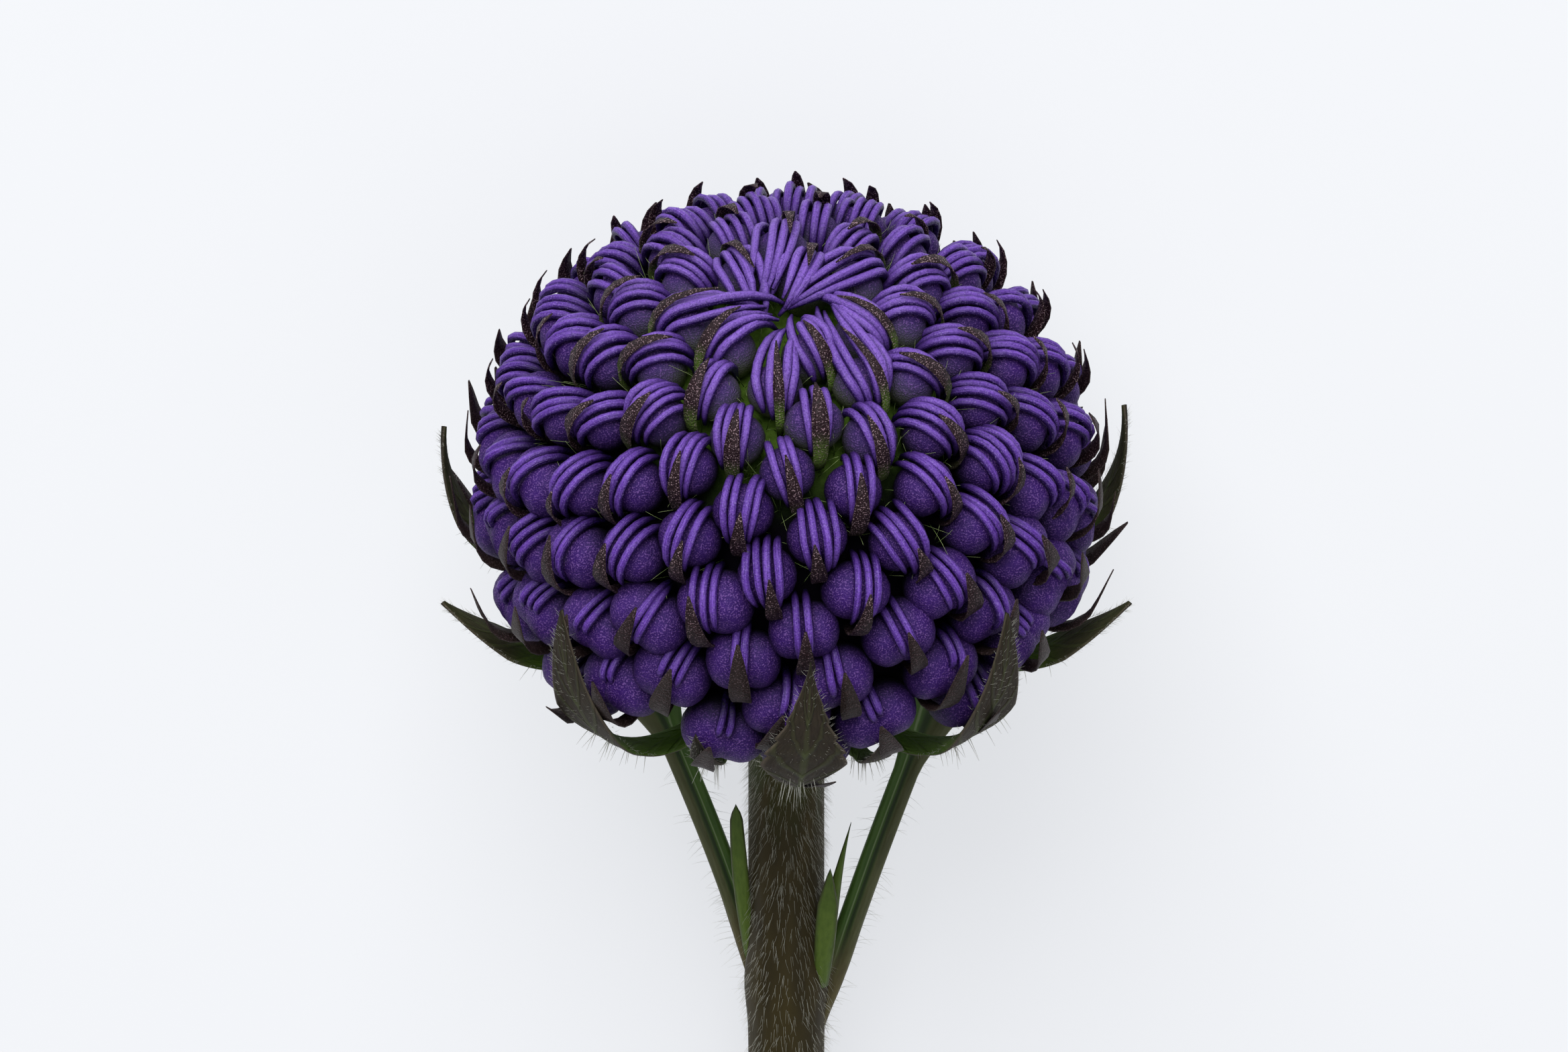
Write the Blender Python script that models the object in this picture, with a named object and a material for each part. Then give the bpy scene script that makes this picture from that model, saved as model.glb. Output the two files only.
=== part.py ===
"""A cut scabiosa flower with a domed head of closed florets, lying on a surface.

Units are metres and +Z is up. The surface is at z = 0. The stem runs towards -Y. Three places touch
the surface: the flattened backs of two bracts under the head, and the cut end of the stem.
"""
import math

import bmesh
import bpy
from mathutils import Matrix, Vector

MM = 0.001

# Everything is laid out from the line where the two bracts touch the surface, and then moved so that
# the middle of the whole flower's outline on the surface is the origin.
OUTLINE_MIDDLE = Vector((0.0, -21.32 * MM, 0.0))

# Driving dimensions of the head, in its own frame: +Z is the head's axis, from the stem to the
# middle of the florets, and -Y is the side that faces up when the flower lies down.
HEAD_RADIUS = 12.0 * MM
HEAD_RISE = 11.4 * MM
HEAD_DEPTH = 7.4 * MM
HEAD_SQUARENESS = 2.35
HEAD_TILT = math.radians(30.0)
HEAD_CENTRE = Vector((0.0, -4.7 * MM, 11.5 * MM))
FLORET_HEIGHT = 1.75 * MM
FLORET_PITCH_TOP = 1.95 * MM
FLORET_PITCH_RIM = 2.85 * MM
LAST_FLORET = math.radians(102.0)
SCALE_FROM = math.radians(7.0)
SCALE_TO = math.radians(92.0)
RECEPTACLE_PITCH = 3.4 * MM
RECEPTACLE_RADIUS = 2.0 * MM
RECEPTACLE_END = 6.3 * MM

# Driving dimensions of the stem. It leaves the head along the head's axis and bends flat.
STEM_RADIUS = 1.45 * MM
STEM_END_RADIUS = 1.52 * MM
STEM_BEND = 5.5 * MM
STEM_END_Y = -50.0 * MM
NODE_Y = -26.0 * MM
NODE_SWELL = 0.2 * MM
NODE_LENGTH = 1.3 * MM

# Thickness of the blades, and the space between pieces that touch on the real flower.
BLADE_THICKNESS = 0.6 * MM
STALK_THICKNESS = 0.9 * MM
GAP = 0.3 * MM

# The turn of the growth spiral from one floret to the next.
GOLDEN_ANGLE = math.radians(137.508)

HEAD_FRAME = Matrix.Translation(HEAD_CENTRE) @ Matrix.Rotation(HEAD_TILT - math.pi / 2, 4, "X")


def clear_scene():
    for item in list(bpy.data.objects):
        bpy.data.objects.remove(item, do_unlink=True)


def make_material(name, colour, roughness):
    material = bpy.data.materials.new(name)
    material.use_nodes = True
    shader = material.node_tree.nodes["Principled BSDF"]
    shader.inputs["Base Color"].default_value = (*colour, 1.0)
    shader.inputs["Roughness"].default_value = roughness
    shader.inputs["Metallic"].default_value = 0.0
    return material


def add_object(name, bm, material):
    """A new object from a bmesh, moved to the origin's frame and shaded smooth up to 40 degrees."""
    mesh = bpy.data.meshes.new(name)
    bmesh.ops.translate(bm, vec=-OUTLINE_MIDDLE, verts=bm.verts)
    bm.to_mesh(mesh)
    bm.free()
    mesh.materials.append(material)
    mesh.shade_smooth()
    mesh.set_sharp_from_angle(angle=math.radians(40.0))
    item = bpy.data.objects.new(name, mesh)
    bpy.context.scene.collection.objects.link(item)
    return item


def core_profile(angle):
    """Radius and height of the core, which the florets stand on, at an angle from the axis."""
    radius = (HEAD_RADIUS - FLORET_HEIGHT)
    if angle > math.pi / 2:
        return radius * math.sin(angle), (HEAD_DEPTH - FLORET_HEIGHT) * math.cos(angle)
    power = 2.0 / HEAD_SQUARENESS
    return radius * math.sin(angle) ** power, (HEAD_RISE - FLORET_HEIGHT) * math.cos(angle) ** power


def growth_spiral():
    """Places on the core as (angle from the axis, turn, spacing), evenly spread for their spacing."""
    places = []
    steps = 3000
    filled = 0.0
    last = math.radians(158.0)
    before = core_profile(0.0)
    for step in range(1, steps + 1):
        angle = last * step / steps
        after = core_profile(angle)
        length = math.hypot(after[0] - before[0], after[1] - before[1])
        share = min(1.0, angle / LAST_FLORET)
        pitch = FLORET_PITCH_TOP + (FLORET_PITCH_RIM - FLORET_PITCH_TOP) * share ** 2
        if angle > LAST_FLORET:
            pitch = RECEPTACLE_PITCH
        filled += math.pi * (after[0] + before[0]) * length / pitch ** 2
        before = after
        if filled >= len(places) + 0.5:
            places.append((angle, len(places) * GOLDEN_ANGLE, pitch))
    return places


def surface_frame(angle, turn):
    """A point of the core, with its sideways, middle-ward and outward directions."""
    small = 1e-3
    radius, height = core_profile(angle)
    radius_before, height_before = core_profile(angle - small)
    radial = Vector((math.cos(turn), math.sin(turn), 0.0))
    inward = (radial * (radius_before - radius) + Vector((0, 0, height_before - height))).normalized()
    sideways = Vector((-math.sin(turn), math.cos(turn), 0.0))
    outward = sideways.cross(inward)
    if outward.dot(radial) * radius + outward.z * height < 0:
        sideways = -sideways
        outward = -outward
    return radial * radius + Vector((0, 0, height)), sideways, inward, outward


# A floret's outline across its three bent strips: share of the half width, and of the height.
FLORET_RINGS = ((-1.0, 0.0), (-0.74, 0.9), (-0.36, 0.82), (0.0, 1.0), (0.36, 0.82), (0.74, 0.9),
                (1.0, 0.0))
FLORET_BENDS = 4
FLORET_FIRST_BEND = math.radians(-20.0)
FLORET_LAST_BEND = math.radians(200.0)
FLORET_SEAT = 0.3

# Shares of the spacing between florets: a floret's size, how far it leans in from the middle of its
# cell, and the foot of its scale. The scale's lean and heights are shares of the floret's own.
FLORET_HALF_WIDTH = 0.47
FLORET_HALF_LENGTH = 0.4
FLORET_SHIFT = 0.06
SCALE_WIDTH = 0.13
SCALE_DEPTH = 0.16
SCALE_LEAN = 1.28
SCALE_HEIGHT = 1.14
SCALE_FOOT = 0.05


def floret_points(half_width, half_length, shift):
    """Rows of points over a floret, each row across it, from its outer foot over to its inner one."""
    rows = []
    for bend in range(FLORET_BENDS + 1):
        angle = FLORET_FIRST_BEND + (FLORET_LAST_BEND - FLORET_FIRST_BEND) * bend / FLORET_BENDS
        row = []
        for share, level in FLORET_RINGS:
            along = shift - half_length * level * math.cos(angle)
            height = FLORET_HEIGHT * (FLORET_SEAT + (1 - FLORET_SEAT) * level * math.sin(angle))
            row.append(Vector((share * half_width, along, height)))
        rows.append(row)
    return rows


def keep_inside(point, cell, share):
    """A point drawn in towards the cell's middle until it lies inside that share of the cell."""
    scale = 1.0
    for start, end in zip(cell, cell[1:] + cell[:1]):
        normal = Vector((end.y - start.y, start.x - end.x))
        room = normal.x * start.x + normal.y * start.y
        reach = normal.x * point.x + normal.y * point.y
        if reach > room * share:
            scale = min(scale, room * share / reach)
    return Vector((point.x * scale, point.y * scale, point.z))


def stitch(bm, inner, outer):
    """Triangles between two rings of (turn, vertex) that go round the same middle."""
    whole = 2 * math.pi
    base = inner[0][0]
    inner = inner + [(base + whole, inner[0][1])]
    outer = [((turn - base) % whole + base, vert) for turn, vert in outer]
    outer.sort(key=lambda entry: entry[0])
    outer = [(outer[-1][0] - whole, outer[-1][1])] + outer
    a = b = 0
    while a < len(inner) - 1 or b < len(outer) - 1:
        inner_next = b == len(outer) - 1 or (a < len(inner) - 1 and inner[a + 1][0] <= outer[b + 1][0])
        if inner_next:
            bm.faces.new((inner[a][1], outer[b][1], inner[a + 1][1]))
            a += 1
        else:
            bm.faces.new((inner[a][1], outer[b][1], outer[b + 1][1]))
            b += 1


def make_head(material):
    """The core's surface, cut into one cell for each place of the spiral, each with its floret."""
    places = growth_spiral()
    frames = [surface_frame(angle, turn) for angle, turn, pitch in places]
    hull = bmesh.new()
    for frame in frames:
        hull.verts.new(frame[0])
    foot = hull.verts.new((0.0, 0.0, -RECEPTACLE_END))
    bmesh.ops.convex_hull(hull, input=hull.verts)
    bmesh.ops.triangulate(hull, faces=hull.faces)
    hull.verts.index_update()
    hull.faces.index_update()

    # Each triangle between three places gives one corner that their three cells share.
    bm = bmesh.new()
    corners = {}
    for face in hull.faces:
        middle = face.calc_center_median()
        if foot in face.verts:
            flat = Vector((middle.x, middle.y, 0.0)).normalized() * RECEPTACLE_RADIUS
            middle = Vector((flat.x, flat.y, -RECEPTACLE_END))
        corners[face.index] = bm.verts.new(middle)

    foot_frame = (foot.co, Vector((1, 0, 0)), Vector((0, -1, 0)), Vector((0, 0, -1)))
    for vert in hull.verts:
        centre, sideways, inward, outward = frames[vert.index] if vert is not foot else foot_frame
        frame = Matrix((sideways, inward, outward))
        around = []
        for face in vert.link_faces:
            spot = frame @ (corners[face.index].co - centre)
            around.append((math.atan2(spot.y, spot.x), corners[face.index], spot))
        around.sort(key=lambda entry: entry[0])
        bare = vert is foot or places[vert.index][0] > LAST_FLORET
        if bare:
            bm.faces.new([entry[1] for entry in around])
            continue
        add_floret(bm, frame, centre, around, places[vert.index])

    bmesh.ops.recalc_face_normals(bm, faces=bm.faces)
    bmesh.ops.transform(bm, matrix=HEAD_FRAME, verts=bm.verts)
    hull.free()
    return add_object("floret_head", bm, material)


def add_floret(bm, frame, centre, around, place):
    """One floret on its cell: the bent strips, the sides down to the cell's edge, and its scale."""
    angle, _, pitch = place
    half_width = FLORET_HALF_WIDTH * pitch
    half_length = FLORET_HALF_LENGTH * pitch
    shift = FLORET_SHIFT * pitch
    cell = [entry[2] for entry in around]
    back = frame.transposed()
    rows = floret_points(half_width, half_length, shift)
    rows[0] = [keep_inside(point, cell, 0.9) for point in rows[0]]
    rows[-1] = [keep_inside(point, cell, 0.9) for point in rows[-1]]
    last = len(FLORET_RINGS) - 1
    middle = last // 2
    ends = [bm.verts.new(centre + back @ rows[0][k]) for k in (0, last)]
    grid = []
    for row in rows:
        line = [bm.verts.new(centre + back @ point) for point in row[1:last]]
        grid.append([ends[0]] + line + [ends[1]])
    for low, high in zip(grid, grid[1:]):
        bm.faces.new((low[0], low[1], high[1]))
        bm.faces.new((low[last - 1], low[last], high[last - 1]))
        for k in range(1, last - 1):
            bm.faces.new((low[k], low[k + 1], high[k + 1], high[k]))
    foot = list(zip(rows[0], grid[0]))
    foot += list(zip(rows[-1][last - 1:0:-1], grid[-1][last - 1:0:-1]))
    if SCALE_FROM < angle < SCALE_TO:
        outer = []
        for side in (-1, 1):
            along = shift - half_length - SCALE_DEPTH * pitch
            spot = Vector((side * SCALE_WIDTH * pitch, along, SCALE_FOOT * FLORET_HEIGHT))
            spot = keep_inside(spot, cell, 0.94)
            outer.append((spot, bm.verts.new(centre + back @ spot)))
        tip = Vector((0.0, shift - SCALE_LEAN * half_length, SCALE_HEIGHT * FLORET_HEIGHT))
        tip_vert = bm.verts.new(centre + back @ tip)
        rim = [grid[0][middle - 1], outer[0][1], outer[1][1], grid[0][middle + 1], grid[0][middle]]
        for start, end in zip(rim, rim[1:] + rim[:1]):
            bm.faces.new((start, end, tip_vert))
        foot[middle:middle + 1] = outer
    inner = [(math.atan2(spot.y, spot.x), vert) for spot, vert in foot]
    inner.sort(key=lambda entry: entry[0])
    stitch(bm, inner, [(turn, vert) for turn, vert, spot in around])


def bezier(points, share):
    """A point of the cubic curve with these four control points."""
    rest = 1.0 - share
    weights = (rest ** 3, 3 * share * rest ** 2, 3 * share ** 2 * rest, share ** 3)
    return sum((Vector(point) * weight for point, weight in zip(points, weights)), Vector((0, 0, 0)))


def blade_width(share, root, widest, peak, tip):
    """Half width of a blade: from its root, out to its widest place and in to its tip."""
    if share < peak:
        return root + (widest - root) * math.sin(share / peak * math.pi / 2) ** 1.5
    return tip + (widest - tip) * (1.0 - (share - peak) / (1.0 - peak)) ** 0.8


def add_blade(name, material, path, side_at, width_at, rows, tooth=0.0, fold=0.0,
              thickness=BLADE_THICKNESS):
    """A leaf-like blade along a path: a grid bent to shape, then given its thickness.

    side_at gives the sideways direction and width_at the half width at a share of the length. Every
    second row is wider by the tooth's share, and the fold lifts the blade's edges.
    """
    bm = bmesh.new()
    bmesh.ops.create_grid(bm, x_segments=2, y_segments=rows, size=1.0)
    small = 1e-3
    for vert in bm.verts:
        across = vert.co.x
        share = (vert.co.y + 1.0) / 2.0
        row = round(share * rows)
        low = path(max(0.0, share - small))
        high = path(min(1.0, share + small))
        ahead = (high - low).normalized()
        side = side_at(share)
        side = (side - ahead * side.dot(ahead)).normalized()
        back = ahead.cross(side)
        half = width_at(share)
        if 0 < row < rows and row % 2 == 0:
            half *= 1.0 + tooth
        vert.co = path(share) + side * (across * half) - back * (abs(across) * half * fold)
    bmesh.ops.triangulate(bm, faces=bm.faces, quad_method="FIXED")
    item = add_object(name, bm, material)
    thick = item.modifiers.new("thickness", "SOLIDIFY")
    thick.thickness = thickness
    thick.offset = 0.0
    return item


def flatten_under(item):
    """Apply the thickness and press flat what would reach below the surface."""
    depsgraph = bpy.context.evaluated_depsgraph_get()
    mesh = bpy.data.meshes.new_from_object(item.evaluated_get(depsgraph))
    item.modifiers.clear()
    item.data = mesh
    for vert in mesh.vertices:
        vert.co.z = max(vert.co.z, 0.0)


# Control points of a bract's middle line, from root to tip, as distances in millimetres from the
# head's axis and along it.
HUGGING = ((2.5, -6.95), (9.3, -6.6), (14.9, -2.0), (12.7, 5.0))
UPRIGHT = ((2.5, -6.95), (9.3, -6.5), (15.0, -2.4), (13.0, 3.2))
SPREADING = ((2.5, -6.95), (7.5, -6.9), (11.6, -3.6), (13.9, -0.6))
SHORT = ((4.1, -6.15), (8.0, -5.7), (11.9, -3.6), (12.9, -0.9))

# Each long bract: its turn from the middle of the front, how far its tip turns on from that, its
# middle line, and its largest half width in millimetres.
LONG_BRACTS = (
    (1, 3, HUGGING, 1.62),
    (-33, -13, HUGGING, 1.25),
    (34, 11, HUGGING, 1.25),
    (-68, -4, SPREADING, 1.2),
    (68, 4, SPREADING, 1.2),
    (-98, 3, UPRIGHT, 1.15),
    (98, -3, UPRIGHT, 1.15),
    (-131, 0, SPREADING, 1.25),
    (131, 0, SPREADING, 1.25),
    (-165, 0, UPRIGHT, 1.35),
    (165, 0, UPRIGHT, 1.35),
)
SHORT_BRACTS = (-16, 18, -114, 114, -148, 148)
RESTING = 165


def bract_path(line, turn, tip_turn):
    def path(share):
        point = bezier([(radius * MM, 0.0, height * MM) for radius, height in line], share)
        angle = math.radians(turn + tip_turn * share ** 1.5)
        return HEAD_FRAME @ Vector((point.x * math.sin(angle), -point.x * math.cos(angle), point.z))
    return path


def bract_side(turn, tip_turn):
    def side_at(share):
        if abs(turn) == RESTING:
            return Vector((-1.0, 0.0, 0.0))
        angle = math.radians(turn + tip_turn * share ** 1.5)
        return HEAD_FRAME.to_3x3() @ Vector((math.cos(angle), math.sin(angle), 0.0))
    return side_at


def make_bracts(material):
    """The involucre: long bracts round the head, and a second row of short ones in their gaps."""
    for number, (turn, tip_turn, line, half) in enumerate(LONG_BRACTS, start=1):
        def long_width(share, half=half):
            return blade_width(share, 0.42 * MM, half * MM, 0.55, 0.1 * MM)

        tooth = 0.16 if number == 1 else 0.0
        item = add_blade(f"bract_{number}", material, bract_path(line, turn, tip_turn),
                         bract_side(turn, tip_turn), long_width, rows=12, tooth=tooth)
        if abs(turn) == RESTING:
            flatten_under(item)

    def short_width(share):
        return blade_width(share, 0.3 * MM, 0.8 * MM, 0.6, 0.1 * MM)

    for number, turn in enumerate(SHORT_BRACTS, start=1):
        add_blade(f"inner_bract_{number}", material, bract_path(SHORT, turn, 0), bract_side(turn, 0),
                  short_width, rows=8)


def stem_path(share):
    """Middle line of the stem, from just under the head to its cut end."""
    top = HEAD_FRAME @ Vector((0.0, 0.0, -RECEPTACLE_END - GAP))
    bend = HEAD_FRAME @ Vector((0.0, 0.0, -RECEPTACLE_END - GAP - STEM_BEND))
    end = Vector((0.0, STEM_END_Y, STEM_END_RADIUS))
    rest = 1.0 - share
    return top * rest ** 2 + bend * (2 * share * rest) + end * share ** 2


def make_stem(material):
    """The stem: a round bevelled curve, swollen at the leaves' node, with plain cut ends."""
    count = 26
    data = bpy.data.curves.new("stem", "CURVE")
    data.dimensions = "3D"
    data.bevel_depth = 1.0
    data.bevel_resolution = 4
    data.use_fill_caps = True
    spline = data.splines.new("POLY")
    spline.points.add(count - 1)
    for k, point in enumerate(spline.points):
        share = (k / (count - 1)) ** 1.25
        place = stem_path(share)
        swell = NODE_SWELL * math.exp(-((place.y - NODE_Y) / NODE_LENGTH) ** 2)
        point.co = (*(place - OUTLINE_MIDDLE), 1.0)
        point.radius = STEM_RADIUS + (STEM_END_RADIUS - STEM_RADIUS) * share + swell
    data.materials.append(material)
    bpy.context.scene.collection.objects.link(bpy.data.objects.new("stem", data))


# Control points of the leaves' middle lines in millimetres, from where they leave the stem.
LEAVES = {
    "leaf_left": ((-2.6, -24.7, 4.6), (-3.3, -19.5, 5.0), (-5.6, -12.5, 5.4), (-9.8, -5.5, 0.47)),
    "leaf_right": ((2.65, -26.0, 4.5), (3.0, -21.5, 4.9), (6.3, -13.5, 5.6), (10.0, -5.5, 0.47)),
}
AXIL_LEAVES = {
    "axil_leaf_left": ((-2.0, -24.0, 6.0), (-2.0, -22.4, 6.3), (-2.2, -20.6, 6.7), (-2.4, -18.8, 7.0)),
    "axil_leaf_right": ((2.0, -25.6, 5.9), (2.0, -23.4, 6.3), (2.3, -21.0, 6.7), (2.8, -18.7, 7.0)),
    "axil_leaf_right_small": ((0.7, -25.4, 7.0), (0.8, -24.0, 7.2), (1.0, -22.4, 7.5), (1.3, -21.0, 7.7)),
}
STEM_HEIGHT_AT_NODE = 4.7


def millimetre_path(points):
    return lambda share: bezier([Vector(point) * MM for point in points], share)


def make_leaves(material):
    """Two opposite leaves, each a channelled stalk with a lance-shaped blade."""
    stalk = 0.58 * MM
    stalk_share = 0.55

    def leaf_width(share):
        if share < stalk_share:
            return stalk
        blade_share = (share - stalk_share) / (1.0 - stalk_share)
        return blade_width(blade_share, stalk, 1.7 * MM, 0.45, 0.12 * MM)

    for name, points in LEAVES.items():
        add_blade(name, material, millimetre_path(points), lambda share: Vector((1.0, 0.0, 0.0)),
                  leaf_width, rows=16, fold=0.25, thickness=STALK_THICKNESS)


def make_axil_leaves(material):
    """The small leaves in the angles of the stalks, with their backs to the stem."""
    for name, points in AXIL_LEAVES.items():
        out = Vector((points[0][0], 0.0, points[0][2] - STEM_HEIGHT_AT_NODE)).normalized()
        across = Vector((0.0, 1.0, 0.0)).cross(out)
        half = 0.33 * MM if "small" in name else 0.45 * MM
        add_blade(name, material, millimetre_path(points), lambda share, across=across: across,
                  lambda share, half=half: blade_width(share, 0.28 * MM, half, 0.4, 0.1 * MM), rows=8)


clear_scene()
make_head(make_material("floret_violet", (0.09, 0.04, 0.30), 0.55))
make_bracts(make_material("bract_olive", (0.10, 0.09, 0.05), 0.65))
make_stem(make_material("stem_olive", (0.09, 0.10, 0.04), 0.70))
leaf_green = make_material("leaf_green", (0.10, 0.20, 0.04), 0.60)
make_leaves(leaf_green)
make_axil_leaves(leaf_green)
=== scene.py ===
import math
import random
from functools import partial

import bmesh
import bpy
from mathutils import Matrix, Vector


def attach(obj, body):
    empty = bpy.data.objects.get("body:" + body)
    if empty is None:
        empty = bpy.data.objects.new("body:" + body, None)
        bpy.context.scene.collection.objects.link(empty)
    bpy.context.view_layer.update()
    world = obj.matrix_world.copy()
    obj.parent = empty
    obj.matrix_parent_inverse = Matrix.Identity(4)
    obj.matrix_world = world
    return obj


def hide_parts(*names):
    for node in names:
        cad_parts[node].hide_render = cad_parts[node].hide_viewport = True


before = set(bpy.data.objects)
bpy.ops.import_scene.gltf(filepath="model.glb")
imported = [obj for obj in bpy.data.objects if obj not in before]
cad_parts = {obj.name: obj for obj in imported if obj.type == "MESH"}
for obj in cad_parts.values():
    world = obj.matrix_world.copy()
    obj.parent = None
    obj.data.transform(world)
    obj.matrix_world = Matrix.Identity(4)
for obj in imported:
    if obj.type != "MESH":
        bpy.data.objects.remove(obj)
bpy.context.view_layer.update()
MM = 0.001
METRES = Matrix.Scale(MM, 4)


# The table, the daylight and the camera. The flower lies on a plain pale table in soft light from
# all round, and the table glows a little so that the shadow stays faint. The camera looks down on
# it, 47 degrees above the side of the head, with the stem running down the picture.
HEAD_CENTRE = Vector((0.0, 16.62, 11.5))
HEAD_TILT = math.radians(30.0)
HEAD_LEAN = Matrix.Rotation(HEAD_TILT - math.pi / 2, 4, "X")
HEAD = METRES @ Matrix.Translation(HEAD_CENTRE) @ HEAD_LEAN
VIEW_ELEVATION = math.radians(73.0)
VIEW_DISTANCE = 400.0 * MM
VIEW_WIDTH = 59.36 * MM
VIEW_SHIFT = Vector((-0.09, -0.61)) * MM
SENSOR_WIDTH = 36.0
NEAREST_SEEN = 10.0 * MM
SKY_COLOUR = (0.94, 0.96, 1.0, 1.0)
SKY_STRENGTH = 0.26
TABLE_SIZE = 1.5
TABLE_BELOW = 0.02 * MM
TABLE_COLOUR = (0.26, 0.262, 0.266, 1.0)
TABLE_ROUGHNESS = 0.9
TABLE_GLOW = 0.68
LAMPS = {
    "window": {"spot": Vector((-0.08, 0.46, 0.42)), "size": 0.45, "watts": 4.0},
    "ceiling": {"spot": Vector((0.12, -0.05, 0.60)), "size": 0.60, "watts": 0.7},
}

toward = Vector((0.0, math.cos(VIEW_ELEVATION), math.sin(VIEW_ELEVATION)))
picture_up = Vector((0.0, math.sin(VIEW_ELEVATION), -math.cos(VIEW_ELEVATION)))
aim = HEAD_CENTRE * MM + Vector((VIEW_SHIFT.x, 0.0, 0.0)) + picture_up * VIEW_SHIFT.y
view_axes = Matrix((Vector((1.0, 0.0, 0.0)), picture_up, toward)).transposed().to_4x4()
camera_data = bpy.data.cameras.new("camera")
camera_data.sensor_fit = "HORIZONTAL"
camera_data.sensor_width = SENSOR_WIDTH
camera_data.lens = SENSOR_WIDTH * VIEW_DISTANCE / VIEW_WIDTH
camera_data.clip_start = NEAREST_SEEN
camera = bpy.data.objects.new("camera", camera_data)
camera.matrix_world = Matrix.Translation(aim + toward * VIEW_DISTANCE) @ view_axes
bpy.context.scene.collection.objects.link(camera)
bpy.context.scene.camera = camera
bpy.context.scene.view_settings.view_transform = "Standard"

world = bpy.data.worlds.new("daylight")
world.use_nodes = True
sky = world.node_tree.nodes["Background"]
sky.inputs["Color"].default_value = SKY_COLOUR
sky.inputs["Strength"].default_value = SKY_STRENGTH
bpy.context.scene.world = world

for name, sizes in LAMPS.items():
    lamp_data = bpy.data.lights.new(name, "AREA")
    lamp_data.size = sizes["size"]
    lamp_data.energy = sizes["watts"]
    lamp = bpy.data.objects.new(name, lamp_data)
    lamp.location = sizes["spot"]
    lamp.rotation_euler = (HEAD_CENTRE * MM - sizes["spot"]).to_track_quat("-Z", "Y").to_euler()
    bpy.context.scene.collection.objects.link(lamp)

table_bm = bmesh.new()
bmesh.ops.create_grid(table_bm, x_segments=1, y_segments=1, size=TABLE_SIZE)
bmesh.ops.translate(table_bm, vec=(0.0, 0.0, -TABLE_BELOW), verts=table_bm.verts)
table_mesh = bpy.data.meshes.new("table")
table_bm.to_mesh(table_mesh)
table_bm.free()
table_paint = bpy.data.materials.new("table_paint")
table_paint.use_nodes = True
table_shader = table_paint.node_tree.nodes["Principled BSDF"]
table_shader.inputs["Base Color"].default_value = TABLE_COLOUR
table_shader.inputs["Roughness"].default_value = TABLE_ROUGHNESS
table_shader.inputs["Emission Color"].default_value = SKY_COLOUR
table_shader.inputs["Emission Strength"].default_value = TABLE_GLOW
table_mesh.materials.append(table_paint)
table = bpy.data.objects.new("table", table_mesh)
bpy.context.scene.collection.objects.link(table)


# The core of the head. On the plant it is the swollen end of the stem, soft and green, that every
# floret grows out of. Here it is turned round the head's axis; it shows in the gaps between the
# florets, where it is painted near-black as their shade but green near the middle, and as the smooth
# green underside.
HEAD_RADIUS = 12.0
HEAD_RISE = 11.4
HEAD_DEPTH = 7.4
HEAD_SQUARENESS = 2.35
FLORET_HEIGHT = 2.3
CORE_END_RADIUS = 1.9
CORE_END = 6.3
CORE_END_CURVE = 0.3
CORE_UNDER_DEGREES = 150
CORE_STEP_DEGREES = 3
CORE_SEGMENTS = 64
CORE_GREEN = ((0.018, 0.040, 0.005), (0.115, 0.21, 0.028))
CORE_GAP_SHADE = ((0.0015, 0.0008, 0.003), (0.004, 0.003, 0.006))


class Value:
    """A number, colour or vector in a material's node tree, which Python's operators can work on."""

    def __init__(self, finish, socket):
        self.finish = finish
        self.socket = socket

    def calculate(self, operation, *values):
        return self.finish.node("ShaderNodeMath", {"operation": operation}, dict(enumerate(values)))

    def __add__(self, other):
        return self.calculate("ADD", self, other)

    def __radd__(self, other):
        return self.calculate("ADD", other, self)

    def __sub__(self, other):
        return self.calculate("SUBTRACT", self, other)

    def __rsub__(self, other):
        return self.calculate("SUBTRACT", other, self)

    def __mul__(self, other):
        return self.calculate("MULTIPLY", self, other)

    def __rmul__(self, other):
        return self.calculate("MULTIPLY", other, self)

    def __abs__(self):
        return self.calculate("ABSOLUTE", self)

    def sine(self):
        return self.calculate("SINE", self)


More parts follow.
